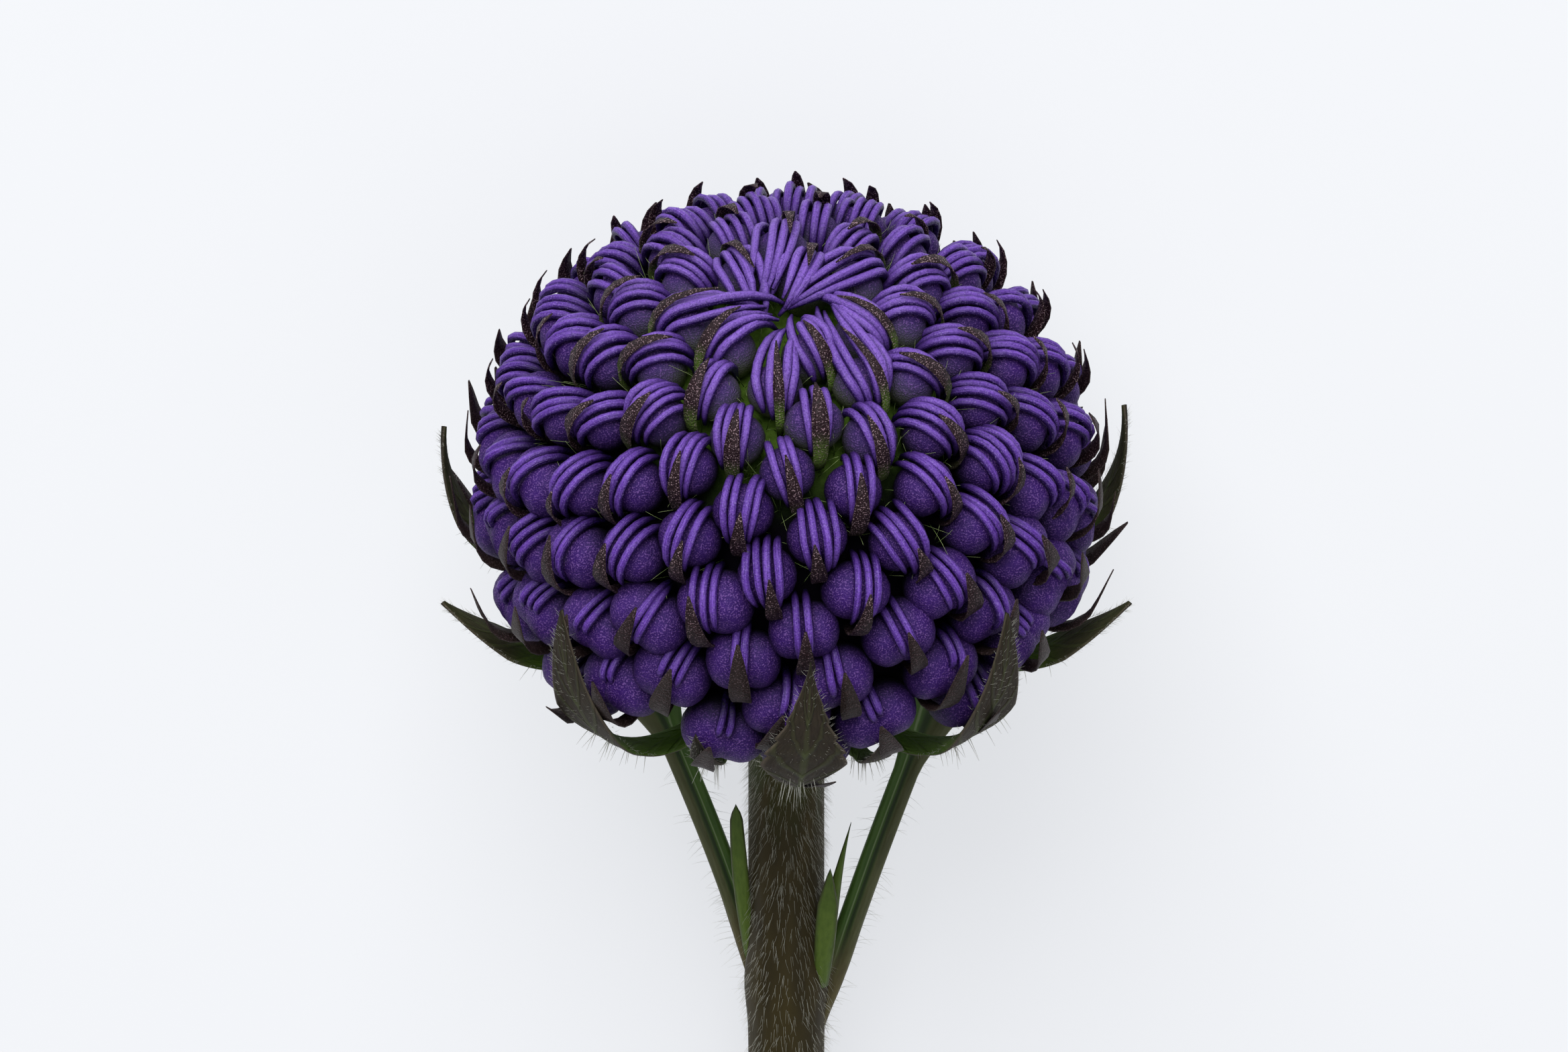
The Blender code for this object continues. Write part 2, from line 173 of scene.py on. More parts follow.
class Finish:
    """A piece's material: its shader, and the nodes that vary it over the surface."""

    def __init__(self, name, **constants):
        self.material = bpy.data.materials.new(name)
        self.material.use_nodes = True
        self.tree = self.material.node_tree
        self.shader = self.tree.nodes["Principled BSDF"]
        for socket, value in constants.items():
            self.shader.inputs[socket.replace("_", " ")].default_value = value

    def node(self, kind, settings, sockets, output=0):
        """A node of that kind: its settings first, then the values or links of its sockets."""
        node = self.tree.nodes.new(kind)
        for setting, value in settings.items():
            setattr(node, setting, value)
        for socket, value in sockets.items():
            if isinstance(value, Value):
                self.tree.links.new(value.socket, node.inputs[socket])
            else:
                node.inputs[socket].default_value = value
        return Value(self, node.outputs[output])

    def place(self, attribute, part):
        """One of the three numbers that a piece's mesh keeps at each vertex."""
        whole = self.node("ShaderNodeAttribute", {"attribute_name": attribute}, {}, "Vector")
        return self.node("ShaderNodeSeparateXYZ", {}, {"Vector": whole}, part)

    def step(self, value, low, high):
        """0 below low and 1 above high, smoothly."""
        ends = {"Value": value, "From Min": low, "From Max": high}
        return self.node("ShaderNodeMapRange", {"interpolation_type": "SMOOTHSTEP"}, ends)

    def grains(self, size, detail=2.0):
        """Noise whose grains are that many millimetres across."""
        where = self.node("ShaderNodeTexCoord", {}, {}, "Object")
        sockets = {"Vector": where, "Scale": 1.0 / (size * MM), "Detail": detail}
        return self.node("ShaderNodeTexNoise", {}, sockets)

    def streaks(self, along, across):
        """Noise drawn out along a strand, from the numbers that its mesh keeps."""
        where = self.node("ShaderNodeAttribute", {"attribute_name": "round"}, {}, "Vector")
        drawn = self.node("ShaderNodeVectorMath", {"operation": "MULTIPLY"},
                          {0: where, 1: (across, across, along)}, "Vector")
        return self.node("ShaderNodeTexNoise", {}, {"Vector": drawn, "Scale": 1.0, "Detail": 3.0})

    def mix(self, factor, first, second):
        """From the first colour at 0 to the second at 1."""
        sockets = {0: factor}
        for socket, colour in ((6, first), (7, second)):
            sockets[socket] = (*colour, 1.0) if isinstance(colour, tuple) else colour
        return self.node("ShaderNodeMix", {"data_type": "RGBA"}, sockets, 2)

    def paint(self, colour):
        self.tree.links.new(colour.socket, self.shader.inputs["Base Color"])

    def bump(self, height, depth):
        """Relief of that depth in millimetres."""
        sockets = {"Height": height, "Distance": depth * MM, "Strength": 1.0}
        relief = self.node("ShaderNodeBump", {}, sockets)
        self.tree.links.new(relief.socket, self.shader.inputs["Normal"])


def new_bmesh():
    """An empty bmesh that keeps three sets of numbers for the materials.

    place is the share of a strand's length, then how far across it and how far out of it a vertex
    lies. tone is what Floret.tone says. round is for streaks: round the strand, and along it.
    """
    bm = bmesh.new()
    for name in ("place", "tone", "round"):
        bm.verts.layers.float_vector.new(name)
    return bm


def add_piece(name, bm, finishes, nodes=()):
    """A finished piece of the flower: its mesh, materials, body and the solids it stands for."""
    bmesh.ops.recalc_face_normals(bm, faces=bm.faces)
    mesh = bpy.data.meshes.new(name)
    bm.to_mesh(mesh)
    bm.free()
    mesh.shade_smooth()
    for finish in finishes:
        mesh.materials.append(finish.material)
    item = bpy.data.objects.new(name, mesh)
    bpy.context.scene.collection.objects.link(item)
    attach(item, "root")
    if nodes:
        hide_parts(*nodes)
    return item


def core_profile(angle):
    """Radius and height of the core at an angle from the head's axis."""
    radius = HEAD_RADIUS - FLORET_HEIGHT
    if angle > math.pi / 2:
        return radius * math.sin(angle), (HEAD_DEPTH - FLORET_HEIGHT) * math.cos(angle)
    power = 2.0 / HEAD_SQUARENESS
    height = (HEAD_RISE - FLORET_HEIGHT) * max(0.0, math.cos(angle)) ** power
    return radius * math.sin(angle) ** power, height


core_bm = new_bmesh()
tone = core_bm.verts.layers.float_vector["tone"]
degrees = range(0, CORE_UNDER_DEGREES, CORE_STEP_DEGREES)
profile = [core_profile(math.radians(degree)) for degree in degrees]
profile += [(CORE_END_RADIUS, -CORE_END + CORE_END_CURVE), (CORE_END_RADIUS, -CORE_END), (0.0, -CORE_END)]
turned = [core_bm.verts.new((radius, 0.0, height)) for radius, height in profile]
edges = [core_bm.edges.new(pair) for pair in zip(turned, turned[1:])]
bmesh.ops.spin(core_bm, geom=turned + edges, cent=(0, 0, 0), axis=(0, 0, 1), angle=2 * math.pi,
               steps=CORE_SEGMENTS, use_merge=True, use_duplicate=False)
bmesh.ops.remove_doubles(core_bm, verts=core_bm.verts, dist=1e-4)
for vert in core_bm.verts:
    polar = math.atan2(math.hypot(vert.co.x, vert.co.y), vert.co.z)
    vert[tone] = (polar / math.pi, 0.0, 0.0)
bmesh.ops.transform(core_bm, matrix=HEAD, verts=core_bm.verts)

core_finish = Finish("core_green", Roughness=1.0, Specular_IOR_Level=0.05)
polar = core_finish.place("tone", "X")
middle = 1 - core_finish.step(polar, 0.14, 0.27)
under = core_finish.step(polar, 0.56, 0.66)
green = core_finish.mix(core_finish.grains(0.35), *CORE_GREEN)
# Painted shade: away from the middle and the underside, the core is painted near-black for the shade in
# the gaps between the florets.
gap_shade = core_finish.mix(core_finish.grains(0.5), *CORE_GAP_SHADE)
core_finish.paint(core_finish.mix(middle + under, gap_shade, green))
core_finish.bump(core_finish.grains(0.2), 0.05)
add_piece("core", core_bm, [core_finish])


# The sacs of the florets. Each closed floret is a velvety violet bag, and they stand in the
# crossing spirals of the plant's growth. A young sac is one ball that is pressed to shape; the
# older ones towards the rim have swollen into two cheeks with a furrow between them.
FLORET_PITCH_TOP = 1.93
FLORET_PITCH_RIM = 2.74
FIRST_FLORET = 2
LAST_FLORET = math.radians(108.0)
GOLDEN_ANGLE = math.radians(137.508)
FIRST_TURN = math.radians(20.0)
FLORET_TWIST = 16
FLORET_GROWTH = 0.10
SPIRAL_STEPS = 3000
TONE_HEIGHT = FLORET_HEIGHT + 0.2
GREEN_FROM = 0.25
GREEN_UNTIL = math.radians(42.0)
AGEING_FROM = math.radians(42.0)
AGEING_SPAN = math.radians(42.0)
BARING_SPAN = math.radians(48.0)
SAC_HALF_WIDTH = 0.50
SAC_HALF_LENGTH = 0.465
SAC_SEAT = 0.86
SAC_RISE = 1.27
TWO_CHEEKS_FROM = 0.42
CHEEK_SHIFT = 0.28
CHEEK_BREADTH = 0.77
FURROW_HALF_WIDTH = 0.33
FURROW_DEPTH = 0.12
SAC_NARROWING = 0.30
VELVET = ((0.018, 0.0035, 0.076), (0.055, 0.013, 0.185))
VELVET_GRAIN = (0.22, 0.105, 0.38)
SAC_FOOT_SHADE = (0.001, 0.0003, 0.004)
SAC_FOOT_GREEN = (0.085, 0.105, 0.04)

chance = random.Random(11)


def clamp(value):
    return min(1.0, max(0.0, value))


class Floret:
    """A floret's place on the core: its axes in the head's frame, its size and its age."""

    def __init__(self, angle, turn, pitch):
        radius, height = core_profile(angle)
        radius_before, height_before = core_profile(angle - 1e-3)
        radial = Vector((math.cos(turn), math.sin(turn), 0.0))
        inward = radial * (radius_before - radius) + Vector((0, 0, height_before - height))
        self.inward = inward.normalized()
        self.sideways = Vector((-math.sin(turn), math.cos(turn), 0.0))
        self.outward = self.sideways.cross(self.inward)
        if self.outward.dot(radial) * radius + self.outward.z * height < 0:
            self.sideways = -self.sideways
            self.outward = -self.outward
        self.centre = radial * radius + Vector((0, 0, height))
        self.angle = angle
        self.reach = radius
        self.pitch = pitch * HEAD_RADIUS / (HEAD_RADIUS - FLORET_HEIGHT)
        self.half_width = SAC_HALF_WIDTH * self.pitch
        self.half_length = SAC_HALF_LENGTH * self.pitch
        age = clamp((angle - AGEING_FROM) / AGEING_SPAN)
        self.age = age * age * (3 - 2 * age)
        self.bared = clamp((angle - AGEING_FROM) / BARING_SPAN) ** 1.3
        self.seed = chance.random()
        twist = math.radians(chance.uniform(-FLORET_TWIST, FLORET_TWIST))
        twisted = Matrix.Rotation(twist, 3, self.outward)
        self.sideways = twisted @ self.sideways
        self.inward = twisted @ self.inward
        self.size = chance.uniform(0.92, 1.07) + FLORET_GROWTH * self.age
        self.part = chance.uniform(-0.22, 0.22) * self.age

    def point(self, side, along, height):
        """From the floret's own directions, in millimetres, to the head's frame."""
        return self.centre + self.sideways * side + self.inward * along + self.outward * height

    def tone(self, height):
        """How high a point stands on the floret, which sets its painted shade; 1 in the middle of the
        head to -1 at its rim; a seed.
        """
        shade_level = height / TONE_HEIGHT
        near = 1.0 - clamp((self.angle - GREEN_FROM) / (GREEN_UNTIL - GREEN_FROM))
        return shade_level, near - self.age, self.seed

    def tone_at(self, point, share):
        return self.tone((point - self.centre).dot(self.outward))


def growth_spiral():
    """The florets, in the order they grew, evenly spread for the room each takes."""
    florets = []
    filled = 0.0
    number = 0
    before = core_profile(0.0)
    for step in range(1, SPIRAL_STEPS + 1):
        angle = LAST_FLORET * step / SPIRAL_STEPS
        after = core_profile(angle)
        length = math.hypot(after[0] - before[0], after[1] - before[1])
        share = angle / LAST_FLORET
        pitch = FLORET_PITCH_TOP + (FLORET_PITCH_RIM - FLORET_PITCH_TOP) * share ** 1.8
        filled += math.pi * (after[0] + before[0]) * length / pitch ** 2
        before = after
        if filled >= number + 0.5:
            florets.append(Floret(angle, FIRST_TURN + number * GOLDEN_ANGLE, pitch))
            number += 1
    return florets[FIRST_FLORET:]


florets = growth_spiral()

ball = bmesh.new()
bmesh.ops.create_uvsphere(ball, u_segments=10, v_segments=6, radius=1.0)
ball_mesh = bpy.data.meshes.new("ball")
ball.to_mesh(ball_mesh)
ball.free()

sac_bm = new_bmesh()
tone = sac_bm.verts.layers.float_vector["tone"]
for floret in florets:
    balls = [(0.0, 1.0, 1.0)]
    if floret.age > TWO_CHEEKS_FROM:
        balls = [(floret.part + hand * CHEEK_SHIFT, CHEEK_BREADTH, chance.uniform(0.92, 1.08))
                 for hand in (-1, 1)]
    for shift, breadth, swollen in balls:
        start = len(sac_bm.verts)
        sac_bm.from_mesh(ball_mesh)
        sac_bm.verts.ensure_lookup_table()
        for vert in sac_bm.verts[start:]:
            x, y, z = vert.co
            foot = 1.0 - SAC_NARROWING * max(0.0, -z)
            groove = math.exp(-(x / FURROW_HALF_WIDTH) ** 2)
            furrow = 1.0 - FURROW_DEPTH * max(0.0, 0.35 + 0.6 * z - 0.5 * y) * groove
            belly = 1.0 + (0.06 + 0.12 * floret.age) * max(0.0, -y)
            side = floret.half_width * floret.size * (shift + x * breadth * swollen) * foot
            along = floret.half_length * y * furrow * belly * foot * swollen
            height = SAC_SEAT + SAC_RISE * z * furrow * floret.size * swollen
            vert.co = floret.point(side, along, height)
            vert[tone] = floret.tone(height)
bmesh.ops.transform(sac_bm, matrix=HEAD, verts=sac_bm.verts)

sac_finish = Finish("sac_violet", Roughness=0.6, Specular_IOR_Level=0.22)
# Painted shade: each sac darkens towards its foot, by its height on the floret, and its pale grains fade
# there too. Away from the middle of the head the foot is painted near-black; near the middle it is green,
# its own colour.
shade_level = sac_finish.step(sac_finish.place("tone", "X"), 0.20, 0.90)
near = sac_finish.place("tone", "Y")
velvet = sac_finish.mix(sac_finish.grains(0.6), *VELVET)
foot = sac_finish.mix(sac_finish.step(near, 0.1, 0.9), SAC_FOOT_SHADE, SAC_FOOT_GREEN)
shaded = sac_finish.mix(shade_level, foot, velvet)
grain = sac_finish.step(sac_finish.grains(0.06, 1.0), 0.50, 0.70)
sac_finish.paint(sac_finish.mix(grain * shade_level * 0.72, shaded, VELVET_GRAIN))
sac_finish.bump(sac_finish.grains(0.06, 1.0), 0.05)
sacs = add_piece("sacs", sac_bm, [sac_finish], ["floret_head"])
rounder = sacs.modifiers.new("rounder", "SUBSURF")
rounder.levels = 1
rounder.render_levels = 1


# The strips of the florets. Two to five slender round lobes lie side by side over the crest of
# each sac, from its outer side to its inner one. Round the middle of the head they are longer, and
# all their ends meet there in a whorl. Each is a rod that is bent over its sac.
STRIP_RADIUS = 0.20
STRIP_GAP = 0.47
STRIP_SLENDERNESS = 0.86
STRIP_SIDES = 8
STRIP_RINGS = 10
SEED_SHIFT = 37.0
# From that age of a floret on: the usual number of strips, and how far chance may take it.
STRIP_COUNTS = ((-1.0, 4, -1.2, 0.6), (0.1, 3, -0.9, 0.7), (0.65, 2, 0.0, 0.8))
STRIP_FIRST = 8
STRIP_BARED = 107
STRIP_LAST = 205
STRIP_STAND = 0.14
WHORL_REACH = 3.8
WHORL_LAST = 152
WHORL_SWIRL = 0.7
# Painted light on the strips: shade on their sides and in the creases at their feet, and a highlight on
# their crowns.
STRIP_SIDE_SHADE = ((0.010, 0.002, 0.044), (0.024, 0.006, 0.094))
STRIP_RIDGE_HIGHLIGHT = ((0.085, 0.024, 0.28), (0.20, 0.085, 0.52))
WHORL_RIDGE_HIGHLIGHT = (0.31, 0.17, 0.66)
STRIP_CREASE_SHADE = ((0.002, 0.0006, 0.010), (0.018, 0.004, 0.075))
STRIP_PITS = (0.022, 0.005, 0.090)
STRIP_GRAIN = (0.38, 0.27, 0.66)


def make_rod(name, sides, rings):
    """A closed rod of unit length and radius along +Z, as a mesh to copy."""
    rod = bmesh.new()
    bmesh.ops.create_cone(rod, cap_ends=True, segments=sides, radius1=1.0, radius2=1.0, depth=1.0)
    bmesh.ops.translate(rod, vec=(0.0, 0.0, 0.5), verts=rod.verts)
    upright = [edge for edge in rod.edges if abs(edge.verts[0].co.z - edge.verts[1].co.z) > 0.5]
    bmesh.ops.subdivide_edges(rod, edges=upright, cuts=rings - 1)
    mesh = bpy.data.meshes.new(name)
    rod.to_mesh(mesh)
    rod.free()
    return mesh


def heading(path, share):
    """The direction of a path at a share of its length."""
    return (path(min(1.0, share + 0.01)) - path(max(0.0, share - 0.01))).normalized()


def grow(bm, rod, path, side, half_width, half_thick, seed=0.0, section=None, tone_at=None):
    """A strand grown along a path: a rod whose width and thickness follow its length.

    path, side, half_width and half_thick give the middle line, the sideways direction and the
    sizes at a share of the length. section, if there is one, moves a point of the cross-section,
    and tone_at, if there is one, gives the tone of a point.
    """
    place = bm.verts.layers.float_vector["place"]
    tone = bm.verts.layers.float_vector["tone"]
    around = bm.verts.layers.float_vector["round"]
    start = len(bm.verts)
    bm.from_mesh(rod)
    bm.verts.ensure_lookup_table()
    rings = {}
    for vert in bm.verts[start:]:
        x, y, share = vert.co
        share = clamp(share)
        key = round(share, 4)
        if key not in rings:
            ahead = heading(path, share)
            across = side(share)
            across = (across - ahead * across.dot(ahead)).normalized()
            sizes = half_width(share), half_thick(share)
            rings[key] = (path(share), across, ahead.cross(across), sizes)
        middle, across, back, sizes = rings[key]
        wide, thick = x * sizes[0], y * sizes[1]
        if section:
            wide, thick = section(share, x, y, wide, thick)
        vert.co = middle + across * wide + back * thick
        vert[place] = (share, x, -y)
        vert[tone] = tone_at(vert.co, share) if tone_at else (0.0, 0.0, 0.0)
        vert[around] = (x + seed * SEED_SHIFT, y, share)


strip_rod = make_rod("strip_rod", STRIP_SIDES, STRIP_RINGS)
strip_bm = new_bmesh()
for floret in florets:
    whorl = floret.reach < WHORL_REACH
    for from_age, usual, fewer, more in STRIP_COUNTS:
        if floret.age > from_age:
            count = usual + round(chance.uniform(fewer, more))
    slender = 1.0 if whorl else STRIP_SLENDERNESS
    gap = STRIP_GAP * slender * (1.0 + 0.10 * floret.age)
    swirl = WHORL_SWIRL if whorl else chance.uniform(-0.15, 0.15)
    for index in range(count):
        offset = (index - (count - 1) / 2) * gap + chance.uniform(-0.08, 0.08)
        offset += floret.part * floret.half_width
        first = math.radians(STRIP_FIRST + STRIP_BARED * floret.bared + chance.uniform(-9, 9))
        last = math.radians(STRIP_LAST + chance.uniform(-14, 6))
        inner = floret.half_length + STRIP_STAND
        if whorl:
            inner = max(inner, floret.reach - 0.05 + chance.uniform(-0.5, 0.4))
            last = math.radians(WHORL_LAST + chance.uniform(-12, 20))
        drop = math.sqrt(max(0.25, 1.0 - (offset / (floret.half_width * 1.2)) ** 2))
        lift = chance.uniform(-0.08, 0.14)
        bend = chance.uniform(-0.2, 0.2)
        thick = STRIP_RADIUS * slender * chance.uniform(0.88, 1.08)

        def strip_path(share):
            turn = first + (last - first) * share
            length = floret.half_length + 0.12 if turn < math.pi / 2 else inner
            along = -length * math.cos(turn) * (1.0 if whorl and turn > math.pi / 2 else drop)
            sunk = (0.20 + 0.40 * floret.age) * max(0.0, 1.0 - share / 0.35) ** 2
            rise = SAC_RISE * floret.size + STRIP_STAND + lift - sunk
            height = SAC_SEAT + rise * math.sin(turn) * drop
            close = 1.0 - (0.78 if whorl else 0.12) * max(0.0, -math.cos(turn)) ** 1.5
            close -= 0.40 * max(0.0, math.cos(turn)) ** 1.5 + 0.5 * floret.age * max(0.0, 0.4 - share)
            side = offset * close + (bend + swirl * share) * share ** 2
            return floret.point(side, along, height)

        def strip_width(share):
            return thick * min(1.0, 0.45 + 2.2 * share, 0.35 + 2.8 * (1.0 - share))

        grow(strip_bm, strip_rod, strip_path, lambda share: floret.sideways, strip_width,
             strip_width, chance.random(), tone_at=floret.tone_at)
bmesh.ops.transform(strip_bm, matrix=HEAD, verts=strip_bm.verts)

strip_finish = Finish("strip_violet", Roughness=0.42, Specular_IOR_Level=0.22)
# Painted shade and highlight: each strip darkens towards its foot into a painted crease shade, and its
# pale grains fade there. Its sides are painted dark and its crown light, and the crown is painted lighter
# still round the whorl.
shade_level = strip_finish.step(strip_finish.place("tone", "X"), 0.30, 1.0)
crown_highlight = strip_finish.step(strip_finish.place("place", "Z"), 0.05, 1.15)
lines = strip_finish.streaks(3.0, 3.2)
streak = strip_finish.step(lines, 0.3, 0.7)
side = strip_finish.mix(streak, *STRIP_SIDE_SHADE)
near = strip_finish.step(strip_finish.place("tone", "Y"), -0.4, 1.0)
ridge = strip_finish.mix(streak, *STRIP_RIDGE_HIGHLIGHT)
ridge = strip_finish.mix(near * 0.4, ridge, WHORL_RIDGE_HIGHLIGHT)
violet = strip_finish.mix(crown_highlight, side, ridge)
shaded = strip_finish.mix(shade_level, strip_finish.mix(near, *STRIP_CREASE_SHADE), violet)
pits = 1 - strip_finish.step(strip_finish.grains(0.08, 1.0), 0.34, 0.50)
shaded = strip_finish.mix(pits * 0.42, shaded, STRIP_PITS)
grain = strip_finish.step(strip_finish.grains(0.055, 1.0), 0.55, 0.72)
strip_finish.paint(strip_finish.mix(grain * shade_level * 0.34, shaded, STRIP_GRAIN))
strip_finish.bump(lines + strip_finish.grains(0.07, 1.0) * 0.6, 0.04)
add_piece("strips", strip_bm, [strip_finish])


# The scales between the florets. One stiff, pointed, dark maroon scale stands at the outer side of
# each floret and leans over it. It is green at its foot near the middle of the head, and glands
# and short hairs speckle it with pale dots.
SCALE_HALF_WIDTH = 0.42
SCALE_HALF_THICKNESS = 0.085
SCALE_FOOT = math.radians(-52.0)
SCALE_BEND = math.radians(88.0)
SCALE_SIDES = 6
SCALE_RINGS = 9
SCALE_LAST = 122
LEANING_FROM = math.radians(22)
LEANING_SPAN = math.radians(30)
ABOVE_TABLE = 0.02
MAROON = ((0.006, 0.0013, 0.003), (0.022, 0.007, 0.010))
OLD_BROWN = ((0.009, 0.0045, 0.004), (0.034, 0.019, 0.016))
SCALE_FOOT_GREEN = (0.12, 0.21, 0.03)
SCALE_EDGE = (0.12, 0.085, 0.07)
SCALE_SPECK = (0.36, 0.24, 0.27)
SCALE_SHADE = (0.003, 0.001, 0.002)


def keep_above(bm, height):
    """Flattens what would pass through the table, that many millimetres above it."""
    for vert in bm.verts:
        vert.co.z = max(vert.co.z, height * MM)


def scale_thick(share):
    return SCALE_HALF_THICKNESS * (1.0 - 0.7 * share)


def scale_section(share, x, y, wide, thick):
    return wide, thick - 0.35 * wide * wide


scale_rod = make_rod("scale_rod", SCALE_SIDES, SCALE_RINGS)
scale_bm = new_bmesh()
for floret in florets:
    whorl = floret.reach < WHORL_REACH
    drawn = clamp((floret.angle - LEANING_FROM) / LEANING_SPAN)
    first = SCALE_FOOT * (1.0 - 0.35 * floret.age)
    last = math.radians(SCALE_LAST - 40 * drawn + 58 * floret.age + chance.uniform(-10, 10))
    offset = chance.uniform(-0.4, 0.4) * (1.0 - 0.5 * floret.age)
    half_width = SCALE_HALF_WIDTH * (1.0 + 0.4 * floret.age) * chance.uniform(0.85, 1.12)
    if whorl:
        half_width *= 0.75
    flare = 0.10 + 0.18 * drawn
    inner = 0.8 * floret.reach if whorl else floret.half_length + 0.5

    def scale_path(share):
        turn = first + (last - first) * share
        beyond = max(0.0, turn - SCALE_BEND) * floret.age ** 0.5
        turn -= beyond
        stand = 0.40 - 0.2 * floret.age + 0.08 * share + flare * max(0.0, share - 0.6) / 0.4
        reach = floret.half_length * (1.0 + 0.06 * floret.age) + stand
        rise = SAC_RISE * floret.size + 0.06 + stand
        along = -(reach if turn < math.pi / 2 else inner) * math.cos(turn) + reach * beyond
        height = SAC_SEAT + rise * (math.sin(turn) + math.cos(turn) * beyond)
        return floret.point(offset * (0.3 + 0.7 * share), along, height)

    def scale_width(share):
        return half_width * max(0.10, min(1.0, 1.6 * (1.0 - share) ** 0.6, 0.30 + 0.95 * share))

    grow(scale_bm, scale_rod, scale_path, lambda share: floret.sideways, scale_width, scale_thick,
         chance.random(), scale_section, floret.tone_at)
bmesh.ops.transform(scale_bm, matrix=HEAD, verts=scale_bm.verts)
keep_above(scale_bm, ABOVE_TABLE)

scale_finish = Finish("scale_maroon", Roughness=0.6, Specular_IOR_Level=0.25)
share = scale_finish.place("place", "X")
near = scale_finish.place("tone", "Y")
shade_level = scale_finish.step(scale_finish.place("tone", "X"), 0.0, 0.6)
maroon = scale_finish.mix(scale_finish.grains(0.25), *MAROON)
brown = scale_finish.mix(scale_finish.grains(0.25), *OLD_BROWN)
dull = scale_finish.mix(1 - scale_finish.step(near, -1.0, -0.7), maroon, brown)
foot = (1 - scale_finish.step(share, 0.32, 0.60)) * scale_finish.step(near, 0.0, 1.0)
body = scale_finish.mix(foot, dull, SCALE_FOOT_GREEN)
edge = scale_finish.step(abs(scale_finish.place("place", "Y")), 0.75, 1.0)
body = scale_finish.mix(edge * 0.3, body, SCALE_EDGE)
specks = scale_finish.step(scale_finish.grains(0.052, 0.0), 0.62, 0.72)
young = scale_finish.step(near, -1.0, -0.2)
speckled = scale_finish.mix(specks * shade_level * (young * 0.5 + 0.2), body, SCALE_SPECK)
scale_finish.paint(scale_finish.mix(shade_level, SCALE_SHADE, speckled))
scale_finish.bump(scale_finish.grains(0.075, 0.0), 0.05)
add_piece("scales", scale_bm, [scale_finish])


# The bristles between the florets. Fine pale green hairs stand on the green tissue round the
# middle of the head and show in its gaps. Each is a thin three-sided tapered rod.
BRISTLE_RADIUS = 0.018
BRISTLES_PER_FLORET = 9
BRISTLES_UNTIL = GREEN_UNTIL + 0.3
HAIR_SIDES = 3
HAIR_RINGS = 3
BRISTLE_ROOT = (0.08, 0.16, 0.02)
BRISTLE_TIP = (0.38, 0.46, 0.20)

hair_rod = make_rod("hair_rod", HAIR_SIDES, HAIR_RINGS)
bristle_bm = new_bmesh()


def add_hair(bm, root, direction, length, droop, radius):
    """A tapered hair from its root, bending towards the droop on its way."""
    def hair_path(share):
        return root + direction * (length * share) + droop * (length * share * share)

    def hair_size(share):
        return radius * (1.0 - 0.8 * share)

    side = direction.orthogonal().normalized()
    grow(bm, hair_rod, hair_path, lambda share: side, hair_size, hair_size)


for floret in florets:
    if floret.angle > BRISTLES_UNTIL:
        continue
    for number in range(BRISTLES_PER_FLORET):
        turn = chance.uniform(0.0, 2 * math.pi)
        spot = 0.5 * floret.pitch * Vector((math.cos(turn), math.sin(turn)))
        root = floret.point(spot.x, spot.y, 0.1)
        lean = floret.sideways * chance.uniform(-0.7, 0.7) + floret.inward * chance.uniform(-0.7, 0.7)
        direction = (floret.outward + lean).normalized()
        add_hair(bristle_bm, root, direction, chance.uniform(1.0, 1.9), lean * 0.2, BRISTLE_RADIUS)
bmesh.ops.transform(bristle_bm, matrix=HEAD, verts=bristle_bm.verts)

bristle_finish = Finish("bristle_green", Roughness=0.5, Specular_IOR_Level=0.3)
share = bristle_finish.place("place", "X")
bristle_finish.paint(bristle_finish.mix(share, BRISTLE_ROOT, BRISTLE_TIP))
add_piece("bristles", bristle_bm, [bristle_finish])


# The bracts: the ring of leafy blades under the head, brown-green and downy outside and bright
# green inside, with a midrib. Eleven are long, the front one with a toothed blade, and six are
# short. Each grows from the underside of the head and bends up round the florets.
FACING = ((2.5, -6.75), (9.2, -6.4), (14.8, -1.7), (12.7, 5.3))
HUGGING = ((2.5, -6.95), (8.9, -6.6), (13.6, -2.9), (12.2, 4.1))
UPRIGHT = ((2.5, -6.95), (9.3, -6.6), (13.5, -3.4), (12.95, 3.4))
SPREADING = ((2.5, -6.95), (7.5, -6.9), (11.4, -3.6), (13.6, -0.6))
SHORT = ((4.1, -6.15), (8.0, -5.4), (11.3, -3.4), (12.3, 0.4))
LONG_BRACTS = (
    (1, 3, FACING, 1.62),
    (-31, -12, HUGGING, 1.35),
    (32, 10, HUGGING, 1.35),
    (-68, -4, SPREADING, 1.05),
    (68, 4, SPREADING, 1.05),
    (-98, 3, UPRIGHT, 0.9),
    (99, 1, UPRIGHT, 0.9),
    (-131, 0, SPREADING, 1.15),
    (131, 0, SPREADING, 1.15),
    (-165, 0, UPRIGHT, 1.25),
    (165, 0, UPRIGHT, 1.25),
)
SHORT_BRACTS = (-16, 18, -114, 114, -148, 148)
BRACT_HALF_THICKNESS = 0.26
SHORT_HALF_WIDTH = 0.6
SHORT_HALF_THICKNESS = 0.2
PLAIN_BLADE = {"root": 0.5, "neck": 0.62, "taper": 0.8}
TOOTHED_BLADE = {"root": 0.30, "neck": 0.10, "taper": 1.05}
BLADE_FROM = 0.5
BLADE_WIDENING = 0.22
WIDEST_AT = 0.72
POINT_LENGTH = 0.28
TEETH = 6
TOOTH_DEPTH = 0.32
MIDRIB_WIDTH = 0.13
BRACT_OLIVE = ((0.012, 0.010, 0.004), (0.060, 0.052, 0.024))
BRACT_PURPLE = ((0.012, 0.006, 0.006), (0.064, 0.044, 0.036))
BRACT_VEIN = (0.085, 0.105, 0.035)
BRACT_EDGE = (0.20, 0.16, 0.12)
